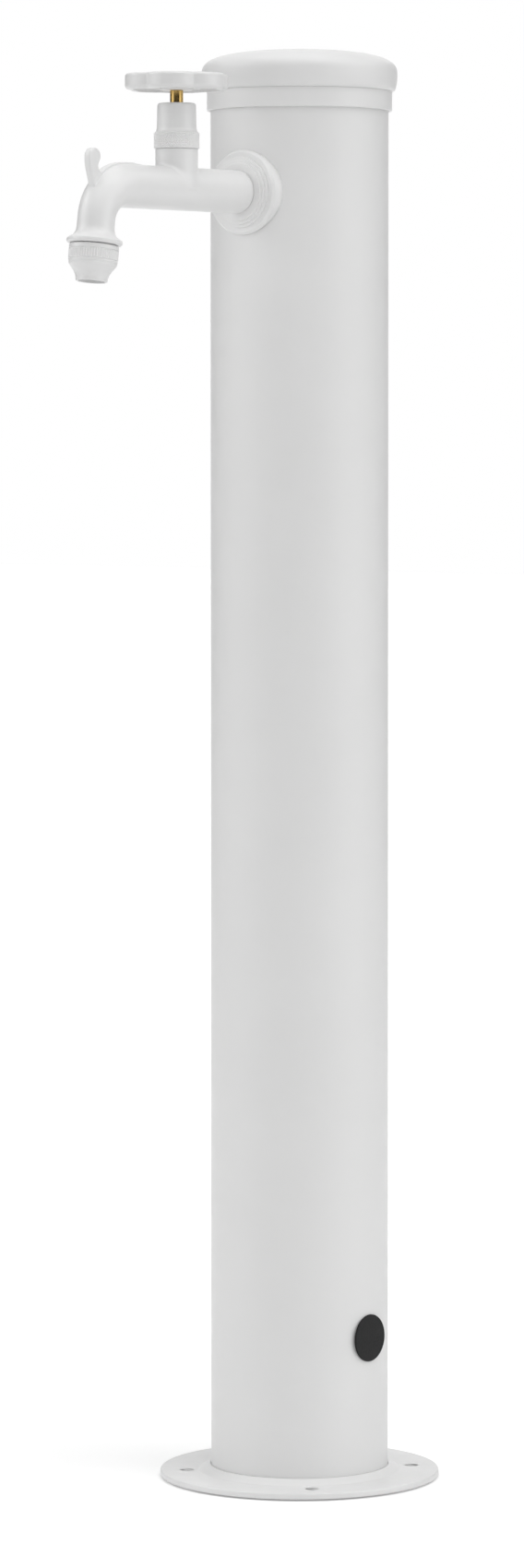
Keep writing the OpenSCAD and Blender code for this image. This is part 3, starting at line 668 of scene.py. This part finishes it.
COLUMN_WHITE = (0.762, 0.762, 0.76)
TAP_WHITE = (0.778, 0.778, 0.776)
WHEEL_WHITE = (0.745, 0.745, 0.743)
ENAMEL = dict(grain=700, grain_depth=0.00002, bump=0.15, mottle=0.012, mottle_scale=40,
              rough_swing=0.03, waves=(70, 0.0001))
materials = {
    "column_paint": node_material("powder_coat", COLUMN_WHITE, 0.42, grain=1100,
                                  grain_depth=0.00004, bump=0.35, mottle=0.012),
    "tap_paint": node_material("tap_enamel", TAP_WHITE, 0.36, specular=0.6, **ENAMEL),
    "wheel_paint": node_material("wheel_enamel", WHEEL_WHITE, 0.33, specular=0.7, **ENAMEL),
    "black_plastic": node_material("plug_plastic", (0.011, 0.011, 0.0113), 0.5, specular=0.2,
                                   grain=2200, grain_depth=0.00002, bump=0.4, mottle=0.1,
                                   mottle_scale=120),
    "black_rubber": node_material("seal_rubber", (0.022, 0.022, 0.022), 0.72, grain=1800,
                                  mottle=0.15, mottle_scale=90),
    "white_packing": node_material("gland_ptfe", (0.8, 0.79, 0.72), 0.45, mottle=0.04,
                                   mottle_scale=150),
    "brass": node_material("fitting_brass", (0.72, 0.5, 0.22), 0.3, 1.0, grain=700, mottle=0.08,
                           mottle_scale=60, stretch=(1, 1, 6)),
    "spindle_brass": node_material("spindle_brass", (0.74, 0.5, 0.18), 0.2, 1.0, grain=260,
                                   grain_depth=0.00001, bump=0.2, mottle=0.06, mottle_scale=50,
                                   rough_swing=0.05, stretch=(1, 1, 12)),
    "zinc_steel": node_material("zinc_plate", (0.62, 0.63, 0.64), 0.34, 1.0, grain=1400,
                                mottle=0.06, mottle_scale=80),
    "steel_pipe": node_material("drawn_pipe", (0.6, 0.6, 0.6), 0.28, 1.0, mottle=0.05,
                                mottle_scale=30, stretch=(1, 1, 0.05)),
}


def dress(piece, slot, body, *nodes):
    """Gives a piece its finish and its body, and hides the solids that it stands for"""
    piece.data.materials.clear()
    piece.data.materials.append(materials[slot])
    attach(piece, body)
    if nodes:
        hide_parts(*nodes)


slot_of = {s["node"]: s["material_slot"] for s in frame["record"]["subparts"]}
for node, cad in frame["nodes"].items():
    cad.data.materials.clear()
    cad.data.materials.append(materials[slot_of[node]])


# --- Column, flange, collar, cap and plug ---------------------------------------------------------

# Turns as fine as this keep the wide round pieces free of visible corners
WIDE_TURN = 224
# Cutters from inside the column to outside it
HOLE_FROM, HOLE_TO = 40, 80

tube = turned_piece("tube_shell", rounded([
    (COLUMN_R, COLUMN_FOOT, 0.3), (COLUMN_R, COLUMN_TOP, 0.3),
    (COLUMN_IN_R, COLUMN_TOP, 0.3), (COLUMN_IN_R, COLUMN_FOOT, 0.3),
], 2), segments=WIDE_TURN)
cut_away(tube, [
    rod("tap_hole", SIDE_HOLE_R, HOLE_FROM, HOLE_TO, along_tap()),
    rod("plug_hole", SIDE_HOLE_R, HOLE_FROM, HOLE_TO, along_plug()),
])
dress(tube, "column_paint", "column", "column_tube")

flange_outline = rounded([
    (FLANGE_HOLE_R, 0, 0.4), (FLANGE_R, 0, 0.6), (FLANGE_R, FLANGE_T, 0.9),
    (SHOULDER_FOOT_R, FLANGE_T, 2.0), (64.9, 7.9, 0.9), (62.75, 7.9, 0.5), (62.75, FLANGE_T, 0),
    (60.3, FLANGE_T, 0), (60.3, 28, 1.0), (56.3, 28, 0.4), (56.3, FLANGE_T, 0.6),
    (FLANGE_HOLE_R, FLANGE_T, 0.5),
], 4)
bolt_angles = [math.radians(45 + 90 * k) for k in range(4)]
bolt_holes = [(BOLT_CIRCLE_R * math.cos(a), BOLT_CIRCLE_R * math.sin(a)) for a in bolt_angles]
flange = pierced_plate(
    "flange_plate", flange_outline, 256, [(FLANGE_T, 70, FLANGE_R), (0, FLANGE_HOLE_R, FLANGE_R)],
    bolt_holes, [(4.9, 0), (4.5, 0.4), (4.5, FLANGE_T - 0.4), (4.9, FLANGE_T)],
)
dress(flange, "column_paint", "column", "base_flange")

collar = turned_piece("collar_band", rounded([
    (62.7, 962.2, 0.3), (65, 962.2, 0.9), (65, CAP_SEAT, 0.35), (59, CAP_SEAT, 0),
    (59, COLUMN_TOP, 0), (62.7, COLUMN_TOP, 0),
], 5), segments=WIDE_TURN)
dress(collar, "column_paint", "column", "cap_collar")

inner_dome = cap_dome(66.2, 14.7, CAP_DOME_FOOT)
cap_outline = (
    [(0, inner_dome[-1][1])] + inner_dome[-2::-1]
    + [(63.3, 978.5), (56.3, 978.5), (56.3, 968), (58.8, 968), (58.8, CAP_SEAT)]
    + rounded([(58.8, CAP_SEAT, 0), (CAP_LIP_R, CAP_SEAT, 0.45), (66.9, 978.2, 0)], 4)[1:-1]
    + cap_side(CAP_LIP_R, CAP_R, CAP_SEAT, CAP_DOME_FOOT - CAP_SEAT)[3:]
    + cap_dome(CAP_R, 17.2, CAP_DOME_FOOT)[1:]
)
cap = turned_piece("cap_shell", cap_outline, segments=WIDE_TURN, closed=False, crease=40)
dress(cap, "column_paint", "column", "top_cap")

plug = turned_piece("plug_head", [(0, COLUMN_R)] + rounded([
    (13, COLUMN_R, 0), (PLUG_HEAD_R, COLUMN_R, 0.2), (PLUG_HEAD_R, 63.7, 0.5), (9, 63.8, 0),
], 5) + [(0, 63.8)], along_plug(), 128, False)
shank = turned_piece("plug_shank", rounded([
    (11.2, 60.0, 0), (11.2, 48.5, 0.3), (PLUG_SHANK_R, 48.5, 0.3), (PLUG_SHANK_R, 51.5, 0),
    (14.2, 52.6, 0.5), (PLUG_SHANK_R, 53.5, 0), (PLUG_SHANK_R, 62.9, 0), (11.2, 62.9, 0),
], 3), along_plug(), 72)
dress(plug, "black_plastic", "column", "side_plug")
dress(shank, "black_plastic", "column")

# --- Rosette and tap ------------------------------------------------------------------------------

rosette = turned_piece("rosette_plate", rounded([
    (SIDE_HOLE_R, 54.0, 0), (29.5, 54.0, 0), (29.5, 63.6, 0.5), (27.9, 65.4, 0.3),
    (24.5, 65.4, 0.15), (24.5, 66.5, 0.3), (22.25, 66.5, 0.15), (22.25, 67.6, 0.3),
    (20.0, 67.6, 0.15), (20.0, BARREL_START, 0.3), (SIDE_HOLE_R, BARREL_START, 0),
], 4), along_tap(), WIDE_TURN)
saddle_back(rosette, 54.5, COLUMN_R + 0.02)
dress(rosette, "tap_paint", "column", "wall_rosette")

FIELD_STEP = 0.6
TAP_BOX = (-20, 36, 850), (20, 241, 932)
WHEEL_BOX = (-37, -37, 0), (37, 37, 11)

verts, faces, normals = surface_net(tap_field, *TAP_BOX, FIELD_STEP)
# The field's axes are (x, distance along the tap, height), so the second one is turned round
flip = Matrix.Diagonal((1, -1, 1, 1))
casting = make_piece("tap_casting", verts, faces[:, ::-1], flip, normals)
dress(casting, "tap_paint", "column", "tap_body")

GRIP_RIBS = 60
GRIP_LOW, GRIP_HIGH = 20.7, 26.9
KNURL_DEPTH = 0.5


def straight_knurl(angle, r, z):
    """Upright ribs on the nozzle's grip"""
    low, high = GRIP_LOW + 0.05, GRIP_HIGH - 0.05
    if not (low < z < high and r > 16.5):
        return 0
    fade = min(1, (z - low) / 0.4, (high - z) / 0.4)
    wave = 0.5 + 0.5 * np.cos(angle * GRIP_RIBS)
    return -KNURL_DEPTH * fade * (1 - np.sqrt(wave))


nozzle_grip = rounded([
    (13.3, NOZZLE_START, 0.3), (16.1, NOZZLE_START, 0.5), (16.8, 17.9, 0.6), (16.85, 20.2, 0.25),
    (16.3, 20.45, 0.1), (16.85, GRIP_LOW, 0.1), (16.85, GRIP_HIGH, 0.1), (16.25, 27.15, 0.1),
    (16.65, 27.5, 0.2), (16.5, 29.0, 0.15), (16.15, 29.25, 0.1), (16.35, 29.5, 0.15),
    (16.1, 30.4, 0),
], 3)
nozzle_cone = through([
    (16.1, 30.4), (15.7, 31.2), (14.7, 32.5), (13.4, 34.2), (12.2, 36.1), (11.35, 38.0),
    (10.95, 39.4), (10.8, 40.6),
], 4)
nozzle_mouth = rounded([
    (10.8, 40.6, 0), (10.75, 41.9, 0.6), (9.2, 41.9, 0.5), (9.2, 28.2, 0.3), (13.3, 28.2, 0),
], 3)
nozzle_outline = finely(
    nozzle_grip + nozzle_cone[1:] + nozzle_mouth[1:], GRIP_LOW, GRIP_HIGH, 0.35
)
nozzle = turned_piece(
    "nozzle_shell", nozzle_outline, down_outlet(), GRIP_RIBS * 10, True, straight_knurl
)
dress(nozzle, "tap_paint", "column", "outlet_nozzle")

KNURL_TURNS = 52
KNURL_PITCH = 1.9


def diamond_knurl(angle, r, z):
    """Crossed ribs on the bonnet's grip"""
    low, high = NECK_TOP + 0.7, NECK_TOP + 10.3
    if not (low < z < high and r > 15):
        return 0
    fade = min(1, (z - low) / 0.3, (high - z) / 0.3)
    rise = (z - low) / KNURL_PITCH * 2 * math.pi
    left, right = [
        np.abs(np.mod((angle * KNURL_TURNS + lean) / (2 * math.pi), 1) - 0.5) * 2
        for lean in (rise, -rise)
    ]
    return -KNURL_DEPTH * fade * (1 - np.minimum(left, right) ** 0.8)


bonnet_outline = finely(rounded([
    (11.95, NECK_TOP, 0.3), (15.45, NECK_TOP, 0.45), (15.65, NECK_TOP + 0.6, 0.1),
    (15.65, NECK_TOP + 10.5, 0.15), (15.2, NECK_TOP + 10.8, 0.15), (14.2, NECK_TOP + 11.9, 1.2),
    (13.6, NECK_TOP + 14.0, 2.0), (13.2, COVER_TOP, 1.9), (4.7, COVER_TOP, 0.3), (4.7, 959.8, 0),
    (11.2, 959.8, 0), (11.2, 945.0, 0), (11.95, 941.6, 0),
], 5), NECK_TOP + 0.6, NECK_TOP + 10.5, 0.22)
bonnet = turned_piece(
    "bonnet_shell", bonnet_outline, on_stem(), KNURL_TURNS * 12, True, diamond_knurl
)
dress(bonnet, "tap_paint", "column", "bonnet_cover")

# --- Handwheel, spindle and screw -----------------------------------------------------------------

verts, faces, normals = surface_net(wheel_field, *WHEEL_BOX, FIELD_STEP)
wheel_place = on_stem(HUB_Z) @ Matrix.Rotation(WHEEL_TURN, 4, "Z")
wheel = make_piece("lobed_wheel", verts, faces, wheel_place, normals)
dress(wheel, "wheel_paint", "handwheel", "handwheel")


THREAD_LOW, THREAD_HIGH = 912.3, 929.5


def spindle_thread(angle, r, z):
    """Right-hand thread on the foot of the spindle"""
    if not (THREAD_LOW + 0.1 < z < THREAD_HIGH - 0.1 and r > 5.5):
        return 0
    phase = np.mod(z / THREAD_LEAD - angle / (2 * math.pi), 1)
    return -0.9 * np.clip(1.25 * (1 - np.abs(phase - 0.5) * 2) - 0.1, 0, 1)


spindle_outline = finely([
    (3.05, 911.9), (5.6, 911.9), (5.98, THREAD_LOW), (5.98, THREAD_HIGH), (5.6, 929.9),
    (4.5, 929.9), (4.5, 970.2), (4.2, HUB_Z), (3.0, HUB_Z), (3.0, 977.3), (2.0, 977.3),
    (2.0, 965.0), (0, 965.0),
], THREAD_LOW, THREAD_HIGH, 0.16) + [(0, 920.9), (3.05, 920.9)]
spindle = turned_piece("spindle_rod", spindle_outline, on_stem(), 96, True, spindle_thread, 30)
dress(spindle, "spindle_brass", "handwheel", "spindle")

screw = turned_piece("screw_pan", rounded([
    (0, 969.0, 0), (1.95, 969.0, 0.2), (1.95, 978.3, 0), (3.9, 978.3, 0.15), (3.9, 980.2, 1.3),
    (0, 981.0, 0),
], 5), on_stem(), 64, False)
cut_away(screw, [
    block("cross_" + name, (-across, -along, 979.7), (across, along, 983), on_stem())
    for name, across, along in (("one", 0.4, 2.1), ("two", 2.1, 0.4))
])
dress(screw, "zinc_steel", "handwheel", "handwheel_screw")

# --- Stage: floor, light and camera ---------------------------------------------------------------

CAMERA_AZIMUTH = 38.7
CAMERA_DIP = 2.373
CAMERA_PLACE_M = (2.4256, -3.0276, 0.7368)
PICTURE_W, PICTURE_H = 568, 1700
# Focal length, and the place where the camera's axis meets the picture, in its pixels
FOCAL_PX = 5973.2
AXIS_PX = (324.2, 716.4)
SENSOR_WIDTH = 36

FLOOR_Z = -1.3
FLOOR_REACH = 20000
FLAG_DISTANCE = 4600
FLAG_HEIGHT = 3600
FLAG_SHADE = 0.05


def seen_directly(nodes, links):
    """One where the camera sees a thing itself, in a mirror or through glass, zero elsewhere"""
    path = nodes.new("ShaderNodeLightPath")
    seen = path.outputs["Is Camera Ray"]
    for ray in ("Is Glossy Ray", "Is Transmission Ray"):
        either = nodes.new("ShaderNodeMath")
        either.operation = "MAXIMUM"
        links.new(seen, either.inputs[0])
        links.new(path.outputs[ray], either.inputs[1])
        seen = either.outputs["Value"]
    return seen


def lift_to_white(material, lift):
    """Adds some plain white where the camera sees the floor, so that only shadows stay darker"""
    nodes, links = material.node_tree.nodes, material.node_tree.links
    glow = nodes.new("ShaderNodeEmission")
    strength = nodes.new("ShaderNodeMath")
    strength.operation = "MULTIPLY"
    strength.inputs[1].default_value = lift
    links.new(seen_directly(nodes, links), strength.inputs[0])
    links.new(strength.outputs["Value"], glow.inputs["Strength"])
    both = nodes.new("ShaderNodeAddShader")
    links.new(nodes["Principled BSDF"].outputs["BSDF"], both.inputs[0])
    links.new(glow.outputs["Emission"], both.inputs[1])
    links.new(both.outputs["Shader"], nodes["Material Output"].inputs["Surface"])


def sun(name, azimuth, elevation, strength, spread):
    """Soft light from a direction given relative to the camera"""
    light = bpy.data.lights.new(name, "SUN")
    light.energy = strength
    light.angle = math.radians(spread)
    lamp = bpy.data.objects.new(name, light)
    a, e = math.radians(CAMERA_AZIMUTH + azimuth), math.radians(elevation)
    towards = Vector((math.sin(a) * math.cos(e), -math.cos(a) * math.cos(e), math.sin(e)))
    lamp.rotation_euler = towards.to_track_quat("Z", "Y").to_euler()
    bpy.context.scene.collection.objects.link(lamp)


def flag(name, azimuth, width):
    """A dark card off the object, seen only in its gloss; it gives no shadow and hides nothing"""
    a = math.radians(CAMERA_AZIMUTH + azimuth)
    centre = Vector((math.sin(a), -math.cos(a), 0)) * FLAG_DISTANCE
    side = Vector((math.cos(a), math.sin(a), 0)) * width / 2
    corners = [centre - side, centre + side, centre + side, centre - side]
    verts = [(p.x, p.y, h) for p, h in zip(corners, (0, 0, FLAG_HEIGHT, FLAG_HEIGHT))]
    card = make_piece(name, verts, [(0, 1, 2, 3)])
    cloth = node_material(name + "_cloth", (FLAG_SHADE,) * 3, 0.9, specular=0.1)
    card.data.materials.append(cloth)
    card.visible_camera = False
    card.visible_shadow = False
    card.visible_diffuse = False


def plain_light(nodes, strength):
    """White background light"""
    background = nodes.new("ShaderNodeBackground")
    background.inputs["Color"].default_value = (1, 1, 1, 1)
    background.inputs["Strength"].default_value = strength
    return background.outputs["Background"]


floor = make_piece("floor", [
    (x * FLOOR_REACH, y * FLOOR_REACH, FLOOR_Z) for x, y in ((-1, -1), (1, -1), (1, 1), (-1, 1))
], [(0, 1, 2, 3)])
floor_finish = node_material("studio_floor", (0.93, 0.93, 0.93), 0.8, mottle=0.004, mottle_scale=2,
                             grain=300, grain_depth=0.00005, bump=0.1, specular=0.1)
lift_to_white(floor_finish, 0.22)
floor.data.materials.append(floor_finish)

sun("top_light", 180, 80, 0.66, 50)
sun("front_top_light", 0, 55, 0.41, 50)
sun("front_light", 0, 20, 0.41, 60)
sun("right_top_light", 60, 60, 0.6, 35)
sun("right_light", 60, 25, 0.33, 35)
sun("right_rear_light", 95, 25, 0.31, 40)
sun("left_rear_light", -95, 25, 0.94, 40)

flag("front_flag", 0, 11000)
flag("right_flag", 125, 6000)
flag("left_flag", -125, 6000)

# The world lights the object softly and shows as plain white
world = bpy.data.worlds.new("studio")
bpy.context.scene.world = world
world.use_nodes = True
nodes, links = world.node_tree.nodes, world.node_tree.links
nodes.clear()
choose = nodes.new("ShaderNodeMixShader")
output = nodes.new("ShaderNodeOutputWorld")
links.new(seen_directly(nodes, links), choose.inputs["Fac"])
links.new(plain_light(nodes, 0.225), choose.inputs[1])
links.new(plain_light(nodes, 1.0), choose.inputs[2])
links.new(choose.outputs["Shader"], output.inputs["Surface"])
bpy.context.scene.view_settings.view_transform = "Standard"

camera_data = bpy.data.cameras.new("camera")
camera_data.sensor_width = SENSOR_WIDTH
camera_data.sensor_fit = "AUTO"
camera_data.lens = FOCAL_PX * SENSOR_WIDTH / PICTURE_H
camera_data.shift_x = -(AXIS_PX[0] - (PICTURE_W - 1) / 2) / PICTURE_H
camera_data.shift_y = -((PICTURE_H - 1) / 2 - AXIS_PX[1]) / PICTURE_H
camera = bpy.data.objects.new("camera", camera_data)
camera.location = CAMERA_PLACE_M
camera.rotation_euler = (math.radians(90 - CAMERA_DIP), 0, math.radians(CAMERA_AZIMUTH))
bpy.context.scene.collection.objects.link(camera)
bpy.context.scene.camera = camera
